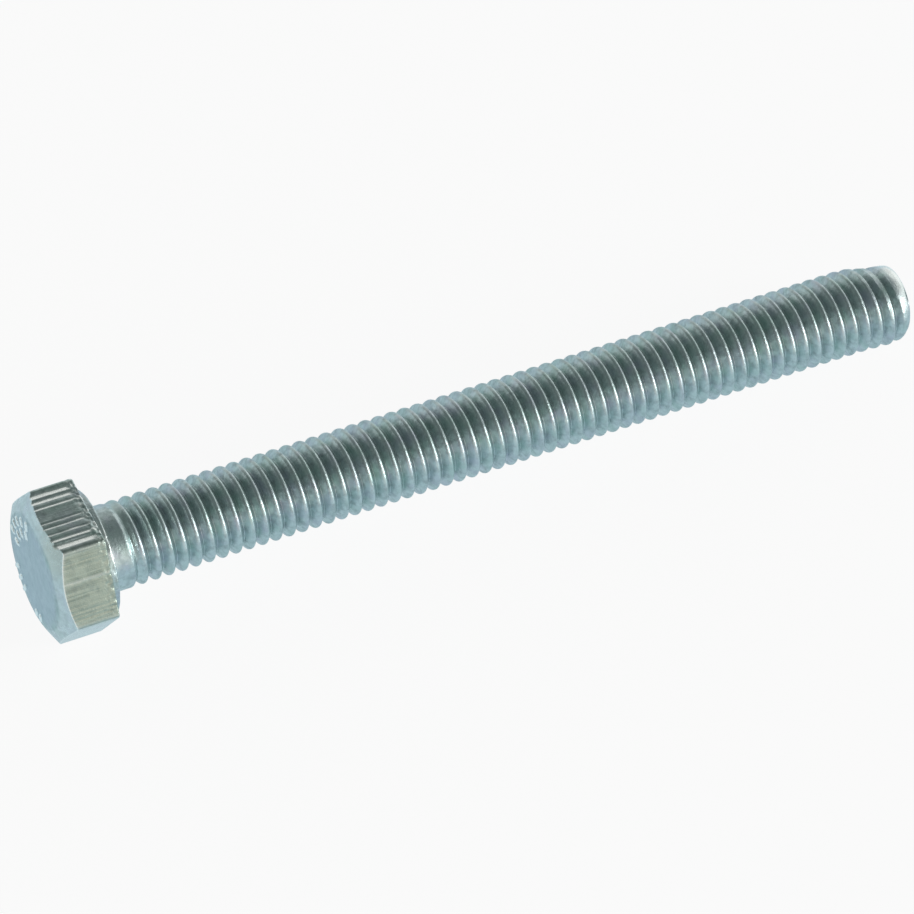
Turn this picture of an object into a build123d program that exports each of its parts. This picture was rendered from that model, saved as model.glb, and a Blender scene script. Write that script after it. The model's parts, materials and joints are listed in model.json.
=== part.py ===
from build123d import *
from math import cos, pi, radians, sin, tan
import os

# A hexagon-head screw, M5 x 0.8 x 50, with a washer face under the head and a thread that
# runs from a short plain neck to the tip.
# It is one forged and thread-rolled piece, so it is one solid in one node.
#
# The screw is shaped upright on +Z, with the bearing face at z = 0, the head below it and
# the thread above it. At the end it is laid along +X, resting on one flat of its head.
# All lengths are in millimetres and all angles in degrees.

# Driving dimensions
thread_diameter = 4.88
pitch = 0.8
turns = 61
neck_diameter = 4.90
neck_length = 0.95
neck_fillet = 0.25
across_flats = 8.00
head_height = 3.60
face_diameter = 6.80
head_chamfer_angle = 30.0
corner_radius = 0.25
washer_face_diameter = 7.30
washer_face_height = 0.45
washer_face_rounding = 0.12
runout_pitches = 1.5
tip_chamfer_angle = 30.0
tip_drop = 0.02
crest_start_angle = 81.2

# ISO metric thread profile, with its depth, crest and root in proportion to the pitch
thread_depth = 0.6134 * pitch
root_radius = 0.1443 * pitch
flank_angle = 30.0

major_radius = thread_diameter / 2
minor_radius = major_radius - thread_depth
length = neck_length + turns * pitch
end_turns = 2
run_turns = 3
main_start = neck_length + end_turns * pitch
tip_start = length - end_turns * pitch
main_runs = (turns - 2 * end_turns) // run_turns

upwards = (Align.CENTER, Align.CENTER, Align.MIN)
downwards = (Align.CENTER, Align.CENTER, Align.MAX)
same_height = 1e-5


def section_point(radius, along):
    """Point of the thread's cross-section at this radius, this far along the pitch."""
    angle = 2 * pi * along / pitch
    return (radius * cos(angle), radius * sin(angle))


def flank(start, end, steps=4):
    """Spiral of the cross-section that a straight flank makes, between two (radius, along)."""
    points = []
    for i in range(steps + 1):
        t = i / steps
        radius = start[0] + (end[0] - start[0]) * t
        along = start[1] + (end[1] - start[1]) * t
        points.append(section_point(radius, along))
    return Spline(*points)


def thread_section():
    """Cross-section of the thread: crest, flank, rounded root and flank, once round the axis."""
    slope = tan(radians(flank_angle))
    root_top = minor_radius + root_radius * (1 - sin(radians(flank_angle)))
    root_half = root_radius * cos(radians(flank_angle))
    flank_width = (major_radius - root_top) * slope
    # The crest takes up what the flanks and the root leave of the pitch
    crest_half = pitch / 2 - root_half - flank_width
    root_start = pitch / 2 - root_half
    crest = ThreePointArc(
        section_point(major_radius, -crest_half),
        section_point(major_radius, 0),
        section_point(major_radius, crest_half),
    )
    leading_flank = flank((major_radius, crest_half), (root_top, root_start))
    root = ThreePointArc(
        section_point(root_top, root_start),
        section_point(minor_radius, pitch / 2),
        section_point(root_top, pitch - root_start),
    )
    trailing_flank = flank((root_top, pitch - root_start), (major_radius, pitch - crest_half))
    return Face(Wire([crest, leading_flank, root, trailing_flank]))


def thread_run(start, count):
    """Right-hand thread from this height, over this whole number of turns."""
    rise = Vector(0, 0, count * pitch)
    run = Solid.extrude_linear_with_rotation(thread_section(), (0, 0, 0), rise, 360 * count)
    angle = crest_start_angle + 360 * start / pitch
    return Pos(0, 0, start) * Rot(0, 0, angle) * run


def head_and_neck():
    """Hexagon head, chamfered on its outer face, with its washer face, the neck and its fillet."""
    hexagon = RegularPolygon(across_flats / 2, 6, major_radius=False, rotation=30)
    hexagon = fillet(hexagon.vertices(), corner_radius)
    hexagon_height = head_height - washer_face_height
    prism = extrude(Pos(0, 0, -head_height) * hexagon, hexagon_height)
    flare = head_height / tan(radians(head_chamfer_angle))
    face_radius = face_diameter / 2
    chamfer_cone = Cone(face_radius, face_radius + flare, head_height, align=upwards)
    washer_face = Cylinder(washer_face_diameter / 2, washer_face_height, align=downwards)
    rim = washer_face.edges().sort_by(Axis.Z)[-1]
    washer_face = fillet(rim, washer_face_rounding)
    neck = Cylinder(neck_diameter / 2, neck_length, align=upwards)
    blank = (prism & Pos(0, 0, -head_height) * chamfer_cone) + washer_face + neck
    circles = blank.edges().filter_by(GeomType.CIRCLE)
    circles_at_face = circles.filter_by_position(Axis.Z, -same_height, same_height)
    inner_corner = circles_at_face.sort_by(SortBy.RADIUS)[0]
    return fillet(inner_corner, neck_fillet)


def runout():
    """First turns of the thread, whose groove fades out into the neck."""
    fade = Cone(neck_diameter / 2, minor_radius - tip_drop, runout_pitches * pitch, align=upwards)
    return thread_run(neck_length, end_turns) + Pos(0, 0, neck_length) * fade


def tip():
    """Last turns of the thread, chamfered to just under the root of the groove."""
    height = end_turns * pitch
    end_radius = minor_radius - tip_drop
    flare = height * tan(radians(tip_chamfer_angle))
    chamfer_cone = Cone(end_radius + flare, end_radius, height, align=upwards)
    return thread_run(tip_start, end_turns) & Pos(0, 0, tip_start) * chamfer_cone


def skin_between(piece, bottom, top):
    """Faces of a piece, without the flat ends where its neighbours take over."""
    faces = []
    for face in piece.faces():
        height = face.center().Z
        is_flat = face.geom_type == GeomType.PLANE
        if is_flat and min(abs(height - bottom), abs(height - top)) < same_height:
            continue
        faces.append(face)
    return faces


def hex_bolt():
    """The whole screw as one solid, lying along +X on a flat of its head."""
    skin = skin_between(head_and_neck(), neck_length, neck_length)
    skin += skin_between(runout(), neck_length, main_start)
    for i in range(main_runs):
        start = main_start + i * run_turns * pitch
        end = start + run_turns * pitch
        skin += skin_between(thread_run(start, run_turns), start, end)
    skin += skin_between(tip(), tip_start, tip_start)
    return Rot(0, 90, 0) * Solid(Shell(skin))


os.makedirs("parts", exist_ok=True)
export_step(hex_bolt(), "parts/hex_bolt.step")
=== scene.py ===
import json
import math

import bmesh
import bpy
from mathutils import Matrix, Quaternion, Vector, noise


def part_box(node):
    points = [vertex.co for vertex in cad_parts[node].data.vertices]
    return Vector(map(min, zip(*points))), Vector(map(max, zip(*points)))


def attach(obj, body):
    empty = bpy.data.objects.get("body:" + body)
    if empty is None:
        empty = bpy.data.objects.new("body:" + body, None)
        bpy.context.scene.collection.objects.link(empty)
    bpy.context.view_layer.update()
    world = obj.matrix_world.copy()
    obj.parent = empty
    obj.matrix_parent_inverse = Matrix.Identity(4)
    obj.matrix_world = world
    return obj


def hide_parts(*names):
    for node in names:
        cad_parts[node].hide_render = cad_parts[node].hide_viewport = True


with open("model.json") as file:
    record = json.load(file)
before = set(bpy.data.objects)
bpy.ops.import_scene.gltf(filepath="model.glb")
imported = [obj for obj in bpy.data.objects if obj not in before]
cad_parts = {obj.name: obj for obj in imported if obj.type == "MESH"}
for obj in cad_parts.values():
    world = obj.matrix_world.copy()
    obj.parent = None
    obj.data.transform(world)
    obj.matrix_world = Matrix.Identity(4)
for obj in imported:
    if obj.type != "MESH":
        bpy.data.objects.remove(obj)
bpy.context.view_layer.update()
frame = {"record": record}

# The looks of a hexagon-head screw: one forged and thread-rolled piece of steel with bright zinc
# plating. The screw lies along +X, its head towards -X, with the bearing face at x = 0. Angles
# round the axis run from +Y towards +Z. All lengths are in metres.

bl_info = {
    "name": "Zinc-plated hex screw",
    "version": (1, 0, 0),
    "blender": (4, 5, 0),
    "location": "View3D > Sidebar > Screw",
    "description": "Makes a hexagon-head screw with a rolled thread, and the studio that shows it",
    "category": "Object",
}

MM = 0.001
CLOSE = 0.0001 * MM
NEAR = 0.001 * MM
NODE = "hex_bolt"
LOW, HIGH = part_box(NODE)
MOUNTS = {mount["name"]: mount for mount in frame["record"]["mounts"]}


# ---------------------------------------------------------------- properties


class ScrewSizes(bpy.types.PropertyGroup):
    """Sizes of the screw."""

    length: bpy.props.FloatProperty(
        name="Length", description="From the bearing face to the tip",
        default=HIGH[0], unit="LENGTH", precision=6)
    pitch: bpy.props.FloatProperty(
        name="Pitch", description="From one thread crest to the next",
        default=0.8 * MM, unit="LENGTH", precision=6)
    crest_radius: bpy.props.FloatProperty(
        name="Crest radius", description="Outer radius of the thread",
        default=MOUNTS["thread"]["dims"]["r_mm"] * MM, unit="LENGTH", precision=6)
    neck_radius: bpy.props.FloatProperty(
        name="Neck radius", description="Radius of the plain neck under the head",
        default=MOUNTS["neck"]["dims"]["r_mm"] * MM - 0.02 * MM, unit="LENGTH", precision=6)
    neck_fillet: bpy.props.FloatProperty(
        name="Neck fillet", description="Radius of the fillet between head and neck",
        default=0.25 * MM, unit="LENGTH", precision=6)
    neck_end: bpy.props.FloatProperty(
        name="Neck end", description="Where the groove starts to fade in",
        default=0.95 * MM, unit="LENGTH", precision=6)
    runout: bpy.props.FloatProperty(
        name="Runout", description="Length over which the groove reaches its full depth",
        default=1.2 * MM, unit="LENGTH", precision=6)
    crest_round: bpy.props.FloatProperty(
        name="Crest rounding", description="Radius of the rolled crest, in pitches",
        default=0.23, min=0.02, max=0.3)
    root_round: bpy.props.FloatProperty(
        name="Root rounding", description="Radius of the groove's bottom, in pitches",
        default=0.04, min=0.01, max=0.3)
    flank_tilt: bpy.props.FloatProperty(
        name="Flank tilt", description="Slope of the worn, plated flanks against the axis",
        default=math.radians(56), subtype="ANGLE")
    crest_angle: bpy.props.FloatProperty(
        name="Crest angle", description="Angle round the axis where a crest meets the bearing face",
        default=math.radians(-8.8), subtype="ANGLE")
    tip_round: bpy.props.FloatProperty(
        name="Tip rounding", description="Length of the rounded end",
        default=1.0 * MM, unit="LENGTH", precision=6)
    tip_radius: bpy.props.FloatProperty(
        name="Tip radius", description="Radius of the flat end face",
        default=1.80 * MM, unit="LENGTH", precision=6)
    tip_loss: bpy.props.FloatProperty(
        name="Tip loss", description="How much lower the last crests are on one side of the tip",
        default=0.40 * MM, unit="LENGTH", precision=6)
    tip_loss_angle: bpy.props.FloatProperty(
        name="Tip loss angle", description="Angle round the axis where the last crests are lowest",
        default=math.radians(36), subtype="ANGLE")
    head_height: bpy.props.FloatProperty(
        name="Head height", description="From the bearing face to the outer face",
        default=-LOW[0], unit="LENGTH", precision=6)
    across_flats: bpy.props.FloatProperty(
        name="Across flats", description="Width of the hexagon",
        default=HIGH[2] - LOW[2], unit="LENGTH", precision=6)
    corner_round: bpy.props.FloatProperty(
        name="Corner rounding", description="Radius of the hexagon's corners",
        default=0.25 * MM, unit="LENGTH", precision=6)
    face_radius: bpy.props.FloatProperty(
        name="Face radius", description="Radius of the outer face inside its chamfer",
        default=3.40 * MM, unit="LENGTH", precision=6)
    washer_radius: bpy.props.FloatProperty(
        name="Washer face radius", description="Radius of the round washer face under the hexagon",
        default=3.65 * MM, unit="LENGTH", precision=6)
    washer_height: bpy.props.FloatProperty(
        name="Washer face height", description="From the hexagon to the bearing face",
        default=0.45 * MM, unit="LENGTH", precision=6)
    washer_round: bpy.props.FloatProperty(
        name="Washer face rounding", description="Radius of the washer face's rim",
        default=0.12 * MM, unit="LENGTH", precision=6)
    chamfer_angle: bpy.props.FloatProperty(
        name="Chamfer angle", description="Slope of the head's chamfer against its outer face",
        default=math.radians(30), subtype="ANGLE")
    streak_depth: bpy.props.FloatProperty(
        name="Streak depth", description="Depth of the trimming streaks along the flats",
        default=0.020 * MM, unit="LENGTH", precision=6)
    mark_height: bpy.props.FloatProperty(
        name="Mark height", description="Height of the raised marks on the outer face",
        default=0.09 * MM, unit="LENGTH", precision=6)


class PlatingLook(bpy.types.PropertyGroup):
    """Colours and polish of the zinc plating, with the colours of its painted highlights and shade."""

    zinc: bpy.props.FloatVectorProperty(
        name="Zinc", description="Colour of the plating where it is brightest",
        default=(0.545, 0.655, 0.66), subtype="COLOR", min=0, max=1)
    zinc_shade: bpy.props.FloatVectorProperty(
        name="Zinc shade", description="Colour of the plating's duller patches",
        default=(0.37, 0.455, 0.46), subtype="COLOR", min=0, max=1)
    passivation_lilac: bpy.props.FloatVectorProperty(
        name="Lilac tint", description="Lilac tint that the clear passivation gives in places",
        default=(0.50, 0.55, 0.62), subtype="COLOR", min=0, max=1)
    passivation_green: bpy.props.FloatVectorProperty(
        name="Green tint", description="Green tint that the clear passivation gives in places",
        default=(0.43, 0.58, 0.55), subtype="COLOR", min=0, max=1)
    straw: bpy.props.FloatVectorProperty(
        name="Straw tint", description="Straw-coloured plating on the trimmed flats",
        default=(0.42, 0.485, 0.41), subtype="COLOR", min=0, max=1)
    straw_shade: bpy.props.FloatVectorProperty(
        name="Straw tint, shade", description="Duller lines in the straw-coloured plating",
        default=(0.29, 0.34, 0.275), subtype="COLOR", min=0, max=1)
    line: bpy.props.FloatVectorProperty(
        name="Trimming lines", description="Dark lines along the trimmed flats",
        default=(0.20, 0.25, 0.24), subtype="COLOR", min=0, max=1)
    # The outer face's duller, bluer tone: partly its own, partly painted shade
    dull_and_shade: bpy.props.FloatVectorProperty(
        name="Dull face", description="Bluish, duller plating on the head's outer face",
        default=(0.48, 0.59, 0.645), subtype="COLOR", min=0, max=1)
    # Worn bright zinc, and the colour of the painted highlights
    rubbed_and_highlight: bpy.props.FloatVectorProperty(
        name="Rubbed edges", description="Bright zinc on edges and raised marks that have been rubbed",
        default=(0.93, 0.98, 0.96), subtype="COLOR", min=0, max=1)
    roughness: bpy.props.FloatProperty(
        name="Roughness", description="Middle roughness of the plating",
        default=0.34, min=0, max=1)


class StudioSettings(bpy.types.PropertyGroup):
    """Floor, light and camera."""

    floor_white: bpy.props.FloatVectorProperty(
        name="Floor", description="Colour of the floor",
        default=(0.95, 0.95, 0.95), subtype="COLOR", min=0, max=1)
    # How the floor shows in bright metal: a painted shade, dimmer and bluer than the floor itself
    floor_painted_reflection: bpy.props.FloatVectorProperty(
        name="Floor's sheen", description="Colour of the floor as it shows in bright metal",
        default=(0.62, 0.76, 0.83), subtype="COLOR", min=0, max=1)
    aim: bpy.props.FloatVectorProperty(
        name="Aim", description="Point that the camera looks at",
        default=(21.51 * MM, -0.88 * MM, -0.63 * MM), subtype="XYZ", unit="LENGTH", precision=6)
    azimuth: bpy.props.FloatProperty(
        name="Azimuth", description="Camera's turn round the screw, from -Y towards +X",
        default=math.radians(-30.82), subtype="ANGLE")
    elevation: bpy.props.FloatProperty(
        name="Elevation", description="Camera's height above the horizon",
        default=math.radians(50.19), subtype="ANGLE")
    roll: bpy.props.FloatProperty(
        name="Roll", description="Camera's turn about its own line of sight",
        default=math.radians(6.83), subtype="ANGLE")
    distance: bpy.props.FloatProperty(
        name="Distance", description="From the camera to the point it looks at",
        default=289.4 * MM, unit="LENGTH", precision=6)
    lens: bpy.props.FloatProperty(
        name="Lens", description="Focal length in millimetres",
        default=204.86)


# ---------------------------------------------------------------- small helpers


def deselect_all():
    """Leaves object mode with nothing selected."""
    if bpy.context.object and bpy.context.object.mode != "OBJECT":
        bpy.ops.object.mode_set(mode="OBJECT")
    bpy.ops.object.select_all(action="DESELECT")


def edit(piece, element="EDGE"):
    """Enters edit mode on one piece with nothing selected."""
    deselect_all()
    piece.select_set(True)
    bpy.context.view_layer.objects.active = piece
    bpy.ops.object.mode_set(mode="EDIT")
    bpy.ops.mesh.select_mode(type=element)
    bpy.ops.mesh.select_all(action="DESELECT")


def select_rim(piece, near):
    """Selects the open edges whose two ends pass the test near(x, radius)."""
    mesh = bmesh.from_edit_mesh(piece.data)
    for edge in mesh.edges:
        ends = [near(v.co.x, math.hypot(v.co.y, v.co.z)) for v in edge.verts]
        edge.select_set(edge.is_boundary and all(ends))
    bmesh.update_edit_mesh(piece.data)


def place_selected(piece, place):
    """Moves the selected points to place(angle), an (x, radius), each on its own side of the axis."""
    mesh = bmesh.from_edit_mesh(piece.data)
    for vertex in mesh.verts:
        if vertex.select:
            angle = math.atan2(vertex.co.z, vertex.co.y)
            x, radius = place(angle)
            vertex.co = (x, radius * math.cos(angle), radius * math.sin(angle))
    bmesh.update_edit_mesh(piece.data)


def draw_out(piece, place):
    """Extrudes the selected rim and places its new points by place(angle)."""
    bpy.ops.mesh.extrude_region_move()
    place_selected(piece, place)


def smooth_step(value, start, end):
    """0 before start, 1 after end, and an even rise between them."""
    t = min(max((value - start) / (end - start), 0.0), 1.0)
    return t * t * (3 - 2 * t)


# ---------------------------------------------------------------- the shank


def thread_profile(size):
    """One pitch of the rolled profile from root to root, as (distance along, radius)."""
    half = size.pitch / 2
    crest_round = size.crest_round * size.pitch
    root_round = size.root_round * size.pitch
    tilt = size.flank_tilt
    rounds = crest_round + root_round
    flank = (half - rounds * math.sin(tilt)) * math.tan(tilt)
    depth = rounds * (1 - math.cos(tilt)) + flank
    root = size.crest_radius - depth
    rise = []
    for share in (0, 1/3, 2/3, 1):
        angle = share * tilt
        rise.append((root_round * math.sin(angle), root + root_round * (1 - math.cos(angle))))
    for share in (1, 2/3, 1/3, 0):
        angle = share * tilt
        drop = crest_round * (1 - math.cos(angle))
        rise.append((half - crest_round * math.sin(angle), size.crest_radius - drop))
    fall = [(size.pitch - along, radius) for along, radius in reversed(rise[:-1])]
    return rise + fall


def crest_loss(size, x, angle):
    """How much the crests near the tip fall short of their full radius.

    The loss is all on one side. On the other side the crests stand out a little.
    """
    side = 0.4 + 0.6 * math.cos(angle - size.tip_loss_angle)
    return side * size.tip_loss * smooth_step(x, size.length - 3.8 * size.pitch,
                                              size.length - 0.9 * size.pitch)


def outline_radius(size, x, angle):
    """Radius over the crests: the neck, the full thread and the rounded end."""
    swell = smooth_step(x, size.neck_end, size.neck_end + size.pitch)
    radius = size.neck_radius + (size.crest_radius - size.neck_radius) * swell
    radius -= crest_loss(size, x, angle)
    t = min(max((x - size.length + size.tip_round) / size.tip_round, 0.0), 1.0)
    return size.tip_radius + (radius - size.tip_radius) * math.sqrt(1 - t * t)


def shank_radius(size, x, angle, radius):
    """Radius on the finished shank where the endless thread has this radius.

    The groove fades in after the neck and out before the tip. The low crests near the tip are
    flat-topped, and the end is rounded off.
    """
    fade = smooth_step(x, size.neck_end, size.neck_end + size.runout)
    fade *= 1 - smooth_step(x, size.length - 1.3 * size.pitch, size.length - 0.4 * size.pitch)
    sunk = size.crest_radius - radius - 0.5 * max(crest_loss(size, x, angle), 0.0)
    return outline_radius(size, x, angle) - max(sunk, 0.0) * fade


def make_shank(size):
    """The neck, the rolled thread and the rounded tip, open towards the head."""
    profile = thread_profile(size)
    start = size.pitch * (-size.crest_angle / (2 * math.pi) - 0.5)
    deselect_all()
    bpy.ops.mesh.primitive_circle_add(vertices=len(profile), radius=size.crest_radius)
    shank = bpy.context.object
    shank.name = "screw_shank"
    for vertex, (along, radius) in zip(shank.data.vertices, profile):
        vertex.co = (start + along, radius, 0)
    edit(shank)
    mesh = bmesh.from_edit_mesh(shank.data)
    mesh.verts.ensure_lookup_table()
    first, last = mesh.verts[0], mesh.verts[len(profile) - 1]
    for edge in first.link_edges:
        edge.select_set(edge.other_vert(first) == last)
    bmesh.update_edit_mesh(shank.data)
    bpy.ops.mesh.delete(type="EDGE")
    bpy.ops.object.mode_set(mode="OBJECT")

    rolling = shank.modifiers.new("Rolled thread", "SCREW")
    rolling.axis = "X"
    rolling.screw_offset = size.pitch
    rolling.iterations = math.ceil(size.length / size.pitch) + 2
    rolling.steps = rolling.render_steps = 64
    bpy.ops.object.modifier_apply(modifier=rolling.name)

    for vertex in shank.data.vertices:
        x, y, z = vertex.co
        radius = math.hypot(y, z)
        new_radius = shank_radius(size, x, math.atan2(z, y), radius)
        vertex.co = (x, y * new_radius / radius, z * new_radius / radius)

    edit(shank)
    bpy.ops.mesh.select_all(action="SELECT")
    bpy.ops.mesh.remove_doubles(threshold=CLOSE)
    tip_cut = size.length - 0.12 * size.tip_round
    bpy.ops.mesh.select_all(action="SELECT")
    bpy.ops.mesh.bisect(plane_co=(size.neck_end, 0, 0), plane_no=(1, 0, 0), clear_inner=True,
                        threshold=CLOSE)
    bpy.ops.mesh.select_all(action="SELECT")
    bpy.ops.mesh.bisect(plane_co=(tip_cut, 0, 0), plane_no=(1, 0, 0), clear_outer=True,
                        threshold=CLOSE)

    # The rounded rim and the flat end face
    select_rim(shank, lambda x, radius: x > tip_cut - NEAR)
    for turn in (66, 71, 76, 81, 85.5, 90):
        x = size.length - size.tip_round * (1 - math.sin(math.radians(turn)))
        draw_out(shank, lambda angle, x=x: (x, outline_radius(size, x, angle)))
    for share in (0.97, 0.6, 0.3):
        draw_out(shank, lambda angle, share=share: (size.length, size.tip_radius * share))
    bpy.ops.mesh.extrude_region_move()
    bpy.ops.mesh.merge(type="CENTER")

    # The plain neck and its fillet
    bpy.ops.mesh.select_all(action="DESELECT")
    select_rim(shank, lambda x, radius: x < size.neck_end + NEAR)
    for share in (0.75, 0.5, 0.25):
        x = size.neck_fillet + (size.neck_end - size.neck_fillet) * share
        draw_out(shank, lambda angle, x=x: (x, size.neck_radius))
    for turn in range(0, 91, 15):
        lift = math.radians(turn)
        x = size.neck_fillet * (1 - math.sin(lift))
        radius = size.neck_radius + size.neck_fillet * (1 - math.cos(lift))
        draw_out(shank, lambda angle, place=(x, radius): place)
    bpy.ops.object.mode_set(mode="OBJECT")
    return shank


# ---------------------------------------------------------------- the head


FLATS = 6
STRIPS = 72
CORNER_STRIPS = 4
# The angle that one flat takes up, and half of it
SIXTH = math.radians(60)
HALF_SIXTH = math.radians(30)
# The outer face's even rings of points end this far inside its chamfer
FACE_MARGIN = 0.10 * MM
# The corner between the two trimmed flats seen best
TRIMMED_CORNER = math.radians(120)


def corner_reach(size, turn):
    """Radius of the rounded corner, this far round from the corner's middle."""
    centre = (size.across_flats / 2 - size.corner_round) / math.cos(HALF_SIXTH)
    across = centre * math.sin(turn)
    return centre * math.cos(turn) + math.sqrt(size.corner_round**2 - across**2)


def corner_turn(size):
    """How far round from a corner's middle its rounding meets the flat."""
    centre = (size.across_flats / 2 - size.corner_round) / math.cos(HALF_SIXTH)
    out = centre + size.corner_round * math.cos(HALF_SIXTH)
    return math.atan2(size.corner_round * math.sin(HALF_SIXTH), out)


def hexagon_radius(size, angle):
    """Radius of the hexagon's outline at this angle."""
    turn = (angle + SIXTH / 2) % SIXTH - SIXTH / 2
    if abs(turn) < corner_turn(size):
        return corner_reach(size, turn)
    return size.across_flats / 2 / math.cos(SIXTH / 2 - abs(turn))


def head_angles(size):
    """Angles of the head's columns of points: even strips on each flat, and closer ones on corners."""
    corner = corner_turn(size)
    edge = size.across_flats / 2 * math.tan(SIXTH / 2 - corner)
    angles = []
    for flat in range(FLATS):
        middle = (flat + 0.5) * SIXTH
        for strip in range(STRIPS + 1):
            across = edge * (2 * strip / STRIPS - 1)
            angles.append(middle + math.atan2(across, size.across_flats / 2))
        for step in range(1, CORNER_STRIPS):
            angles.append((flat + 1) * SIXTH + corner * (2 * step / CORNER_STRIPS - 1))
    return angles


TOP_FLAT = 1
# Scores that the trimming tool left along two of the flats: (place across in mm, width in mm)
SCORES = {
    TOP_FLAT: ((-1.90, 0.50), (-1.45, 0.36), (-0.98, 0.20), (0.10, 0.16), (0.46, 0.17), (0.93, 0.14),
               (1.34, 0.26), (1.80, 0.50)),
    TOP_FLAT + 1: ((-1.55, 0.10), (0.95, 0.08), (1.30, 0.11), (1.52, 0.09),
                   (1.74, 0.13), (1.98, 0.09)),
}
# Depth of a score against its width, and where across it the bottom lies (0 to 1)
SCORE_SLOPE = 0.22
SCORE_BOTTOM = 0.35
# Middle of the pale line along the straw-coloured flat, across it in mm
PALE_LINE = -0.45
# How deep the trimming streaks are on each flat, from the flat that starts at +Y
STREAK_SHARES = (0.6, 0.8, 0.45, 0.2, 0.5, 0.7)
# How straw-coloured each flat is
STRAW_SHARES = (0.5, 0.15, 1.0, 0.05, 0.6, 0.5)


def around_head(size, angle):
    """Which flat this angle is on, how far from its middle (mm) and how near its corners (0 to 1)."""
    flat = math.floor(angle / SIXTH) % FLATS
    turn = angle % SIXTH - SIXTH / 2
    across = size.across_flats / 2 * math.tan(turn) / MM
    return flat, across, smooth_step(abs(turn), math.radians(25.5), HALF_SIXTH)


def share_of_flat(shares, flat, across, corner):
    """This flat's share, blended with the next flat's towards the corner between them."""
    beyond = shares[(flat + (1 if across > 0 else -1)) % FLATS]
    return shares[flat] + (beyond - shares[flat]) * 0.5 * corner


def score_place(flat, across, along):
    """Width of the score at this place on a flat, and how far across it the place is."""
    for place, width in SCORES.get(flat, ()):
        sway = 0.02 * noise.noise(Vector((along * 0.9, place * 5.0, 2.2)))
        t = (across - place - sway) / width + 0.5
        if 0 < t < 1:
            return width, t
    return 0.0, 0.0


def scores(flat, across, along):
    """Depth in mm of the scores along a flat, each with one steep and one gentle side."""
    width, t = score_place(flat, across, along)
    return SCORE_SLOPE * width * min(t / SCORE_BOTTOM, (1 - t) / (1 - SCORE_BOTTOM))


def torn_share(size, x):
    """Where the trimming tool broke through, the last stretch of the flats is torn."""
    rear = -size.washer_height
    return smooth_step(x, rear - 0.62 * MM, rear - 0.20 * MM)


def streaks(size, angle, x):
    """Depth of the trimming streaks at this angle of the hexagon and this place along it."""
    flat, across, corner = around_head(size, angle)
    girth = size.across_flats / 2 * angle / MM
    along = x / MM
    strength = share_of_flat(STREAK_SHARES, flat, across, corner)
    wide = noise.noise(Vector((girth * 1.5, along * 0.10, 1.0)))
    narrow = noise.noise(Vector((girth * 4.1, along * 0.20, 3.0)))
    fine = noise.noise(Vector((girth * 8.5, along * 0.6, 5.0)))
    depth = strength * size.streak_depth * (0.5 + wide + 0.40 * narrow + 0.12 * fine)
    torn = torn_share(size, x) * smooth_step(strength, 0.1, 0.9)
    rough = noise.noise(Vector((girth * 4.0, along * 4.5, 7.0)))
    rough += 0.6 * noise.noise(Vector((girth * 8.0, along * 8.5, 9.0)))
    depth += MM * scores(flat, across, along) * (1 - torn)
    depth += torn * size.streak_depth * 3.6 * (rough + 0.35)
    return max(depth, 0.0) * (1 - 0.5 * corner)


def chamfer_drop(size, radius):
    """How far the head's outer face has fallen back at this radius, soft where the chamfer starts."""
    softness = 0.22 * MM
    past = radius - size.face_radius
    return math.tan(size.chamfer_angle) * 0.5 * (past + math.sqrt(past**2 + softness**2))


# Raised ticks on the outer face: (inner radius, outer radius, first angle, step, count)
TICK_ROWS = ((2.72, 3.04, 8, 15, 5), (2.08, 2.36, 2, 20, 4), (2.66, 2.98, -68, 13, 3),
             (2.80, 3.00, -114, 12, 2))
TICKS = [
    (inner * MM, outer * MM, math.radians(first + step * i))
    for inner, outer, first, step, count in TICK_ROWS
    for i in range(count)
]
# Half width of a tick's flat top, and of its foot
TICK_TOP = 0.085 * MM
TICK_FOOT = 0.20 * MM


def tick_share(radius, angle):
    """1 on top of a raised tick, 0 away from all of them."""
    share = 0.0
    for inner, outer, tick_angle in TICKS:
        across = radius * math.sin(angle - tick_angle)
        along = radius * math.cos(angle - tick_angle)
        away = math.hypot(across, along - min(max(along, inner), outer))
        share = max(share, 1 - smooth_step(away, TICK_TOP, TICK_FOOT))
    return share


def face_relief(size, radius, angle):
    """Height of the outer face's relief: raised ticks, and the slight waves that forging leaves."""
    y, z = radius * math.cos(angle), radius * math.sin(angle)
    height = size.mark_height * tick_share(radius, angle) if radius < size.face_radius else 0.0
    wave = noise.noise(Vector((y / MM * 0.55, z / MM * 0.55, 3.1)))
    wave += 0.4 * noise.noise(Vector((y / MM * 1.6, z / MM * 1.6, 5.2)))
    return height + 0.010 * MM * (wave - 0.7)


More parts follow.
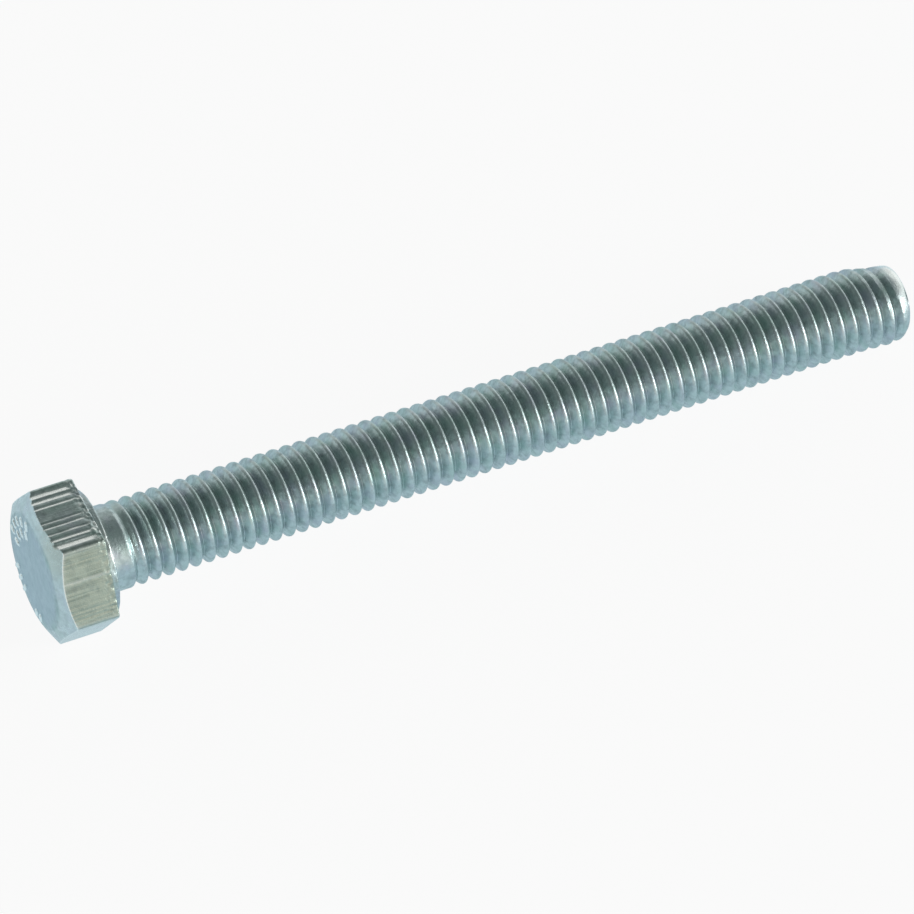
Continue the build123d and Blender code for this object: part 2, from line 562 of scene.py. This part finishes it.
def make_head(size):
    """The hexagon head, open under the neck."""
    angles = head_angles(size)
    deselect_all()
    bpy.ops.mesh.primitive_circle_add(vertices=len(angles), radius=size.face_radius)
    head = bpy.context.object
    head.name = "screw_head"
    inner = 0.35 * MM
    front = -size.head_height

    def on_face(radius):
        return lambda angle: (front + chamfer_drop(size, radius) - face_relief(size, radius, angle),
                              radius)

    for vertex, angle in zip(head.data.vertices, angles):
        vertex.co = (0, inner * math.cos(angle), inner * math.sin(angle))
    edit(head)
    bpy.ops.mesh.select_all(action="SELECT")
    place_selected(head, on_face(inner))
    radius = inner
    rings_end = size.face_radius - FACE_MARGIN
    while radius < rings_end:
        marked = 1.85 * MM < radius < 3.2 * MM
        radius += 0.055 * MM if marked else 0.16 * MM
        draw_out(head, on_face(min(radius, rings_end)))

    # The chamfer, out to where it meets the flats and the corners
    def on_chamfer(share):
        def place(angle):
            outline = hexagon_radius(size, angle)
            edge = outline - streaks(size, angle, front + chamfer_drop(size, outline))
            radius = rings_end + (edge - rings_end) * share
            relief = face_relief(size, radius, angle)
            return (front + chamfer_drop(size, radius) - relief, radius)
        return place

    for share in (0.2, 0.4, 0.6, 0.8, 0.93):
        draw_out(head, on_chamfer(share))

    # The flats, from the chamfer's edge to the rear of the hexagon
    edge_round = 0.035 * MM
    rear = -size.washer_height

    def on_flat(share, sink=0.0):
        def place(angle):
            outline = hexagon_radius(size, angle)
            top = front + chamfer_drop(size, outline) - face_relief(size, outline, angle)
            x = top + (rear - edge_round - top) * share
            radius = outline - streaks(size, angle, x) - sink
            return (x, radius)
        return place

    draw_out(head, on_flat(0.0, 0.006 * MM))
    draw_out(head, on_flat(0.025))
    smooth_rows, torn_rows, torn_start = 9, 10, 0.78
    for row in range(1, smooth_rows):
        draw_out(head, on_flat(torn_start * row / smooth_rows))
    for row in range(torn_rows):
        draw_out(head, on_flat(torn_start + (1 - torn_start) * row / torn_rows))
    draw_out(head, on_flat(1.0, 0.010 * MM))

    # The rear of the hexagon, in to the washer face's side
    def rear_edge(angle):
        outline = hexagon_radius(size, angle) - streaks(size, angle, rear)
        return (rear, outline - 0.05 * MM)

    def side(x, sink=0.0):
        def place(angle):
            y, z = math.cos(angle) * 6.0, math.sin(angle) * 6.0
            rough = noise.noise(Vector((x / MM * 3.0, y, z)))
            rough += 0.6 * noise.noise(Vector((x / MM * 6.0, 2 * y, 2 * z)))
            return (x, size.washer_radius - sink - 0.026 * MM * (rough + 0.6))
        return place

    draw_out(head, rear_edge)
    draw_out(head, lambda angle: (
        rear, (hexagon_radius(size, angle) - 0.05 * MM + size.washer_radius) / 2))
    side_rows = 6
    side_end = -size.washer_round
    for row in range(side_rows + 1):
        draw_out(head, side(rear + (side_end - rear) * row / side_rows))
    for turn in (22.5, 45, 67.5, 90):
        lift = math.radians(turn)
        x = side_end + size.washer_round * math.sin(lift)
        draw_out(head, side(x, size.washer_round * (1 - math.cos(lift))))

    # The bearing face, in to the fillet of the neck
    rim = size.washer_radius - size.washer_round - 0.03 * MM
    last = size.neck_radius + size.neck_fillet + 0.12 * MM
    for share in (0.0, 0.5, 1.0):
        draw_out(head, lambda angle, share=share: (0.0, rim + (last - rim) * share))

    # The middle of the outer face
    bpy.ops.mesh.select_all(action="DESELECT")
    select_rim(head, lambda x, radius: radius < 1.5 * inner)
    bpy.ops.mesh.extrude_region_move()
    bpy.ops.mesh.merge(type="CENTER")
    bpy.ops.object.mode_set(mode="OBJECT")
    return head


def finish_and_light_at(size, place):
    """How straw-coloured and dragged the plating is at this place on the screw, how much worn zinc and
    painted highlight it shows, and how much duller tone and painted shade.
    """
    x, y, z = place
    radius, angle = math.hypot(y, z), math.atan2(z, y)
    if x > -0.02 * MM:
        # The fillet under the head is painted bright, and the upper side of the rounded end gets a
        # painted highlight
        fillet = 1 - smooth_step(x, size.neck_fillet, 1.5 * size.neck_fillet)
        end = smooth_step(x, size.length - 0.80 * MM, size.length - 0.45 * MM)
        end *= max(math.cos(angle - math.radians(66)), 0.0) * smooth_step(radius, 1.5 * MM, 1.8 * MM)
        return (0.0, max(0.6 * fillet, 0.8 * end), 0.0, 0.0)
    if x > 0.02 * MM - size.washer_height:
        # The washer face's rim beside the corner between the two trimmed flats gets a painted
        # highlight, in flecks
        near = 1 - smooth_step(abs(angle - TRIMMED_CORNER), math.radians(6), math.radians(26))
        fleck = noise.noise(Vector((x / MM * 7.0, 5.0 * y / MM, 5.0 * z / MM)))
        return (0.0, near * max(0.5, smooth_step(fleck, 0.2, 0.4)), 0.0, 1 - 0.6 * near)
    outline = hexagon_radius(size, angle)
    edge = chamfer_drop(size, outline) - size.head_height
    flat, across, corner = around_head(size, angle)
    straw = dragged = 0.0
    if x > edge - 0.01 * MM and radius > outline - 0.2 * MM:
        straw = share_of_flat(STRAW_SHARES, flat, across, corner)
        dragged = 1.0
    # The chamfer's edge is painted bright: worn zinc and a painted highlight line
    rubbed_and_highlight = 1 - smooth_step(math.hypot(x - edge, radius - outline), 0.035 * MM, 0.085 * MM)
    polish_and_highlight = rubbed_and_highlight * (0.1 if flat == TOP_FLAT else 0.9)
    # On the top flat the gentle side of each score gets a painted highlight, and the torn stretch near
    # the rear gets bright flecks
    if dragged and flat == TOP_FLAT:
        _, t = score_place(flat, across, x / MM)
        painted_score_highlight = smooth_step(t, SCORE_BOTTOM - 0.1, SCORE_BOTTOM) * (1 - smooth_step(t, 0.9, 1.0))
        torn = torn_share(size, x)
        fleck = noise.noise(Vector((x / MM * 6.0, 4.0 * y / MM, 4.0 * z / MM)))
        polish_and_highlight = max(polish_and_highlight, painted_score_highlight * (1 - torn), torn * smooth_step(fleck, 0.10, 0.30))
    if dragged and flat == TOP_FLAT + 1:
        pale_line = 1 - smooth_step(abs(across - PALE_LINE), 0.04, 0.13)
        polish_and_highlight = max(polish_and_highlight, 0.22 * pale_line)
    # The flat below the straw-coloured one is painted half bright: a painted sheen for the bright
    # floor it reflects
    if dragged and flat == TOP_FLAT + 2:
        polish_and_highlight = max(polish_and_highlight, 0.5)
    dull_and_shade = 0.0
    if not dragged and radius > size.face_radius:
        aside = abs(angle - TRIMMED_CORNER)
        straw = 1 - smooth_step(aside, math.radians(4), math.radians(26))
        polish_and_highlight = max(polish_and_highlight, 0.35 + 0.11 * straw)
    if radius < size.face_radius:
        # The raised ticks are painted bright all over: worn zinc on their tops and a painted glint on
        # their sides
        polish_and_highlight = max(polish_and_highlight, smooth_step(tick_share(radius, angle), 0.0, 0.4))
        # The middle of the outer face gets a duller, bluer tone, partly its own and partly painted
        # shade for the darker floor it reflects
        dull_and_shade = 1 - smooth_step(radius, 0.8 * size.face_radius, size.face_radius)
    return (straw, polish_and_highlight, dull_and_shade, dragged)


def paint_finish_and_light(size, screw):
    """Writes the plating's state and its painted light at each point of the screw."""
    finish_and_light = screw.data.color_attributes.new("finish_and_light", "FLOAT_COLOR", "POINT")
    for vertex, point in zip(screw.data.vertices, finish_and_light.data):
        point.color = finish_and_light_at(size, vertex.co)


def join_screw(size, shank, head):
    """Makes one closed skin of the head and the shank."""
    deselect_all()
    shank.select_set(True)
    head.select_set(True)
    bpy.context.view_layer.objects.active = shank
    bpy.ops.object.join()
    screw = bpy.context.object
    screw.name = "hex_screw"
    screw.data.name = "hex_screw"
    edit(screw)
    select_rim(screw, lambda x, radius: abs(x) < 0.01 * MM)
    bpy.ops.mesh.bridge_edge_loops()
    bpy.ops.mesh.select_all(action="SELECT")
    bpy.ops.mesh.normals_make_consistent(inside=False)
    mesh = bmesh.from_edit_mesh(screw.data)
    open_edges = sum(1 for edge in mesh.edges if not edge.is_manifold)
    bpy.ops.object.mode_set(mode="OBJECT")
    if open_edges:
        raise RuntimeError(f"the screw's skin has {open_edges} open edges")
    bpy.ops.object.shade_smooth_by_angle(angle=math.radians(38))
    paint_finish_and_light(size, screw)
    return screw


# ---------------------------------------------------------------- the plating


class Nodes:
    """A short way to add and wire nodes."""

    def __init__(self, tree):
        self.tree = tree
        tree.nodes.clear()

    def add(self, kind, settings=None, **values):
        """Adds a node with these settings, and with these values or links on its sockets."""
        node = self.tree.nodes.new(kind)
        for name, value in (settings or {}).items():
            setattr(node, name, value)
        for name, value in values.items():
            self.put(node, name.replace("_", " "), value)
        return node

    def put(self, node, name, value):
        """Sets or links one socket, by its name or its number."""
        socket = node.inputs[int(name)] if name.isdigit() else node.inputs[name]
        if isinstance(value, bpy.types.NodeSocket):
            self.tree.links.new(value, socket)
        else:
            socket.default_value = value

    def noise(self, where, scale, detail=3.0, roughness=0.5):
        """Fractal noise with this many features a metre."""
        node = self.add("ShaderNodeTexNoise", Vector=where, Scale=scale, Detail=detail,
                        Roughness=roughness)
        return node.outputs["Fac"]

    def stretch(self, where, scale):
        """Coordinates scaled apart along each axis."""
        return self.add("ShaderNodeMapping", Vector=where, Scale=scale).outputs["Vector"]

    def ramp(self, value, low, high, to_low=0.0, to_high=1.0):
        """Maps a value from one range to another, held at the ends."""
        node = self.add("ShaderNodeMapRange", {"clamp": True}, Value=value)
        for name, number in (("From Min", low), ("From Max", high), ("To Min", to_low),
                             ("To Max", to_high)):
            node.inputs[name].default_value = number
        return node.outputs["Result"]

    def mix(self, share, first, second):
        """Mixes two colours by share, from first to second."""
        node = self.add("ShaderNodeMix", {"data_type": "RGBA"})
        self.put(node, "0", share)
        for socket, value in ((node.inputs[6], first), (node.inputs[7], second)):
            if isinstance(value, bpy.types.NodeSocket):
                self.tree.links.new(value, socket)
            else:
                socket.default_value = (*value, 1.0)
        return node.outputs[2]

    def math(self, operation, first, second=0.0):
        """One sum on two values or links."""
        node = self.add("ShaderNodeMath", {"operation": operation})
        self.put(node, "0", first)
        self.put(node, "1", second)
        return node.outputs[0]


def zinc_plating(look):
    """Bright zinc with a clear passivation: mottled, faintly tinted and finely grained, with painted
    highlights and painted shade where the screw's points carry them.
    """
    material = bpy.data.materials.new("zinc_plating")
    material.use_nodes = True
    nodes = Nodes(material.node_tree)
    where = nodes.add("ShaderNodeTexCoord").outputs["Object"]
    finish_and_light = nodes.add("ShaderNodeAttribute", {"attribute_name": "finish_and_light"}).outputs
    shares = nodes.add("ShaderNodeSeparateColor", Color=finish_and_light["Color"]).outputs
    straw, polish_and_highlight, dull_and_shade, dragged = shares[0], shares[1], shares[2], finish_and_light["Alpha"]

    mottle = nodes.noise(where, 2600.0, 5.0, 0.65)
    patches = nodes.noise(where, 900.0, 2.0)
    grain = nodes.noise(where, 13000.0, 2.0)
    drag = nodes.noise(nodes.stretch(where, (160.0, 9000.0, 9000.0)), 1.0, 4.0, 0.65)

    colour = nodes.mix(nodes.ramp(mottle, 0.42, 0.66), look.zinc, look.zinc_shade)
    colour = nodes.mix(nodes.ramp(patches, 0.52, 0.70, 0.0, 0.7), colour, look.passivation_lilac)
    colour = nodes.mix(nodes.ramp(patches, 0.48, 0.32, 0.0, 0.7), colour, look.passivation_green)
    # Duller, bluer outer face: partly its own tone, partly painted shade
    colour = nodes.mix(nodes.math("MULTIPLY", dull_and_shade, 0.8), colour, look.dull_and_shade)
    smudge = nodes.noise(nodes.stretch(where, (2600.0, 1300.0, 1300.0)), 1.0, 4.0, 0.6)
    lined = nodes.ramp(patches, 0.40, 0.60, 0.25, 1.0)
    lines = nodes.math("MULTIPLY", nodes.ramp(drag, 0.40, 0.66), lined)
    colour = nodes.mix(straw, colour, nodes.mix(lines, look.straw, look.straw_shade))
    smudges = nodes.ramp(smudge, 0.50, 0.68, 0.0, 0.35)
    dark_lines = nodes.math("ADD", nodes.math("MULTIPLY", lines, 0.35), smudges)
    dark_lines = nodes.math("MULTIPLY", dark_lines, dragged)
    colour = nodes.mix(dark_lines, colour, look.line)
    # Worn bright zinc and painted highlights
    colour = nodes.mix(polish_and_highlight, colour, look.rubbed_and_highlight)

    spread = nodes.ramp(mottle, 0.3, 0.7, -0.06, 0.08)
    scratched = nodes.math("MULTIPLY", nodes.ramp(drag, 0.35, 0.7, -0.04, 0.08), dragged)
    roughness = nodes.math("ADD", nodes.math("ADD", spread, scratched), look.roughness)
    roughness = nodes.math("SUBTRACT", roughness, nodes.math("MULTIPLY", polish_and_highlight, 0.12))

    grain_bump = nodes.add("ShaderNodeBump", Strength=0.6, Distance=0.015 * MM, Height=grain)
    mottle_bump = nodes.add("ShaderNodeBump", Strength=0.8, Distance=0.04 * MM, Height=mottle,
                            Normal=grain_bump.outputs["Normal"])
    drag_height = nodes.math("MULTIPLY", drag, dragged)
    drag_bump = nodes.add("ShaderNodeBump", Strength=0.5, Distance=0.014 * MM, Height=drag_height,
                          Normal=mottle_bump.outputs["Normal"])

    shader = nodes.add("ShaderNodeBsdfPrincipled", Metallic=1.0, Roughness=roughness,
                       Normal=drag_bump.outputs["Normal"])
    nodes.put(shader, "Base Color", colour)
    output = nodes.add("ShaderNodeOutputMaterial")
    nodes.put(output, "Surface", shader.outputs["BSDF"])
    return material


class SCREW_OT_make_screw(bpy.types.Operator):
    """Makes the screw: head, neck, rolled thread and rounded tip, in one zinc-plated piece"""

    bl_idname = "screw.make_screw"
    bl_label = "Make screw"

    def execute(self, context):
        size = context.scene.screw_sizes
        screw = join_screw(size, make_shank(size), make_head(size))
        screw.data.materials.clear()
        screw.data.materials.append(zinc_plating(context.scene.screw_plating))
        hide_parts(NODE)
        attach(screw, "root")
        return {"FINISHED"}


# ---------------------------------------------------------------- the studio


def white_floor(studio):
    """Matt white that keeps a soft shadow, with a painted shade and a painted pool of light where
    bright metal reflects it.
    """
    material = bpy.data.materials.new("studio_floor")
    material.use_nodes = True
    nodes = Nodes(material.node_tree)
    where = nodes.add("ShaderNodeTexCoord").outputs["Object"]
    speck = nodes.ramp(nodes.noise(where, 40.0, 2.0), 0.3, 0.7)
    pale = tuple(0.985 * channel for channel in studio.floor_white)
    colour = nodes.mix(speck, studio.floor_white, pale)
    matt = nodes.add("ShaderNodeBsdfDiffuse", Color=colour)
    path = nodes.add("ShaderNodeLightPath")
    # Bright metal sees the floor in a painted shade, dimmer and bluer than the camera sees it; beyond
    # the tip it sees a painted pool of light, as white as the room's end
    along = nodes.add("ShaderNodeSeparateXYZ", Vector=where).outputs["X"]
    painted_reflection_of_floor = nodes.mix(nodes.ramp(along, 0.055, 0.075), studio.floor_painted_reflection, (1.0, 1.0, 1.0))
    glow = nodes.mix(path.outputs["Is Camera Ray"], painted_reflection_of_floor, (1.0, 1.0, 1.0))
    white = nodes.add("ShaderNodeEmission", Color=glow, Strength=1.0)
    seen = nodes.math("MAXIMUM", path.outputs["Is Camera Ray"], path.outputs["Is Glossy Ray"])
    seen = nodes.math("MAXIMUM", seen, path.outputs["Is Transmission Ray"])
    share = nodes.math("MULTIPLY", seen, 0.92)
    mixed = nodes.add("ShaderNodeMixShader")
    nodes.put(mixed, "0", share)
    nodes.put(mixed, "1", matt.outputs[0])
    nodes.put(mixed, "2", white.outputs[0])
    output = nodes.add("ShaderNodeOutputMaterial")
    nodes.put(output, "Surface", mixed.outputs[0])
    return material


def studio_world():
    """A plain pale room under a dim ceiling, lighter towards +X and the front."""
    world = bpy.data.worlds.new("studio")
    bpy.context.scene.world = world
    world.use_nodes = True
    nodes = Nodes(world.node_tree)
    where = nodes.add("ShaderNodeTexCoord").outputs["Generated"]
    way = nodes.add("ShaderNodeSeparateXYZ", Vector=where).outputs
    front, back, end = (1.04, 0.98, 0.94), (0.77, 0.765, 0.75), (1.10, 1.10, 1.08)
    side, side_back = (0.52, 0.54, 0.54), (1.05, 1.08, 1.06)
    wall = nodes.mix(nodes.ramp(way["Y"], -0.4, 0.4), front, back)
    wall = nodes.mix(nodes.ramp(way["X"], 0.50, 0.70), wall, end)
    side_wall = nodes.mix(nodes.ramp(way["Y"], 0.2, 0.5), side, side_back)
    wall = nodes.mix(nodes.ramp(way["X"], -0.35, -0.75), wall, side_wall)
    ceiling = (0.155, 0.183, 0.175)
    # The dim ceiling comes down lower on the side of the head
    headward = nodes.math("MINIMUM", way["X"], 0.0)
    height = nodes.math("SUBTRACT", way["Z"], nodes.math("MULTIPLY", headward, 0.5))
    colour = nodes.mix(nodes.ramp(height, 0.42, 0.78), wall, ceiling)
    glow = nodes.add("ShaderNodeBackground", Color=colour, Strength=1.0)
    output = nodes.add("ShaderNodeOutputWorld")
    nodes.put(output, "Surface", glow.outputs[0])


def add_lamp(name, place, aim, size, power):
    """A soft rectangular lamp that points at aim."""
    bpy.ops.object.light_add(type="AREA", location=place)
    lamp = bpy.context.object
    lamp.name = name
    lamp.data.shape = "RECTANGLE"
    lamp.data.size, lamp.data.size_y = size
    lamp.data.energy = power
    lamp.rotation_mode = "QUATERNION"
    lamp.rotation_quaternion = (Vector(aim) - Vector(place)).to_track_quat("-Z", "Y")


class SCREW_OT_set_stage(bpy.types.Operator):
    """Sets the stage: white floor, plain room, one soft lamp and the camera"""

    bl_idname = "screw.set_stage"
    bl_label = "Set stage"

    def execute(self, context):
        studio = context.scene.screw_studio
        size = context.scene.screw_sizes
        middle = (LOW + HIGH) / 2
        # The screw rests on the back edge of its head and on its tip
        contact = size.length - size.tip_round
        slope = math.atan2(size.across_flats / 2 - size.crest_radius, contact)
        deselect_all()
        bpy.ops.mesh.primitive_plane_add(
            size=4.0, location=(0, 0, -size.across_flats / 2), rotation=(0, -slope, 0))
        floor = context.object
        floor.name = "studio_floor"
        floor.data.materials.append(white_floor(studio))
        studio_world()
        key_way = Vector((0.74, -0.58, 0.34)).normalized()
        add_lamp("key_lamp", middle + key_way * 0.6, middle, (0.126, 0.32), 1.25)

        back = Vector((
            math.sin(studio.azimuth) * math.cos(studio.elevation),
            -math.cos(studio.azimuth) * math.cos(studio.elevation),
            math.sin(studio.elevation),
        ))
        bpy.ops.object.camera_add(location=Vector(studio.aim) + back * studio.distance)
        camera = context.object
        camera.name = "camera"
        camera.data.lens = studio.lens
        camera.data.sensor_width = 36.0
        camera.data.clip_start = 0.01
        camera.rotation_mode = "QUATERNION"
        roll = Quaternion((0, 0, 1), studio.roll)
        camera.rotation_quaternion = (-back).to_track_quat("-Z", "Y") @ roll
        context.scene.camera = camera
        context.scene.view_settings.view_transform = "Standard"
        return {"FINISHED"}


class SCREW_PT_panel(bpy.types.Panel):
    """The screw's and the studio's settings, with the buttons that make them."""

    bl_label = "Screw"
    bl_idname = "SCREW_PT_panel"
    bl_space_type = "VIEW_3D"
    bl_region_type = "UI"
    bl_category = "Screw"

    def draw(self, context):
        for group, operator in (
            (context.scene.screw_sizes, SCREW_OT_make_screw),
            (context.scene.screw_plating, None),
            (context.scene.screw_studio, SCREW_OT_set_stage),
        ):
            box = self.layout.box()
            for name in group.__annotations__:
                box.prop(group, name)
            if operator:
                box.operator(operator.bl_idname)


CLASSES = (
    ScrewSizes, PlatingLook, StudioSettings, SCREW_OT_make_screw, SCREW_OT_set_stage, SCREW_PT_panel,
)


def register():
    for item in CLASSES:
        bpy.utils.register_class(item)
    bpy.types.Scene.screw_sizes = bpy.props.PointerProperty(type=ScrewSizes)
    bpy.types.Scene.screw_plating = bpy.props.PointerProperty(type=PlatingLook)
    bpy.types.Scene.screw_studio = bpy.props.PointerProperty(type=StudioSettings)


def unregister():
    del bpy.types.Scene.screw_studio
    del bpy.types.Scene.screw_plating
    del bpy.types.Scene.screw_sizes
    for item in reversed(CLASSES):
        bpy.utils.unregister_class(item)


def main():
    """Registers the classes and makes the screw and its stage."""
    register()
    bpy.ops.screw.make_screw()
    bpy.ops.screw.set_stage()


if __name__ == "__main__":
    main()
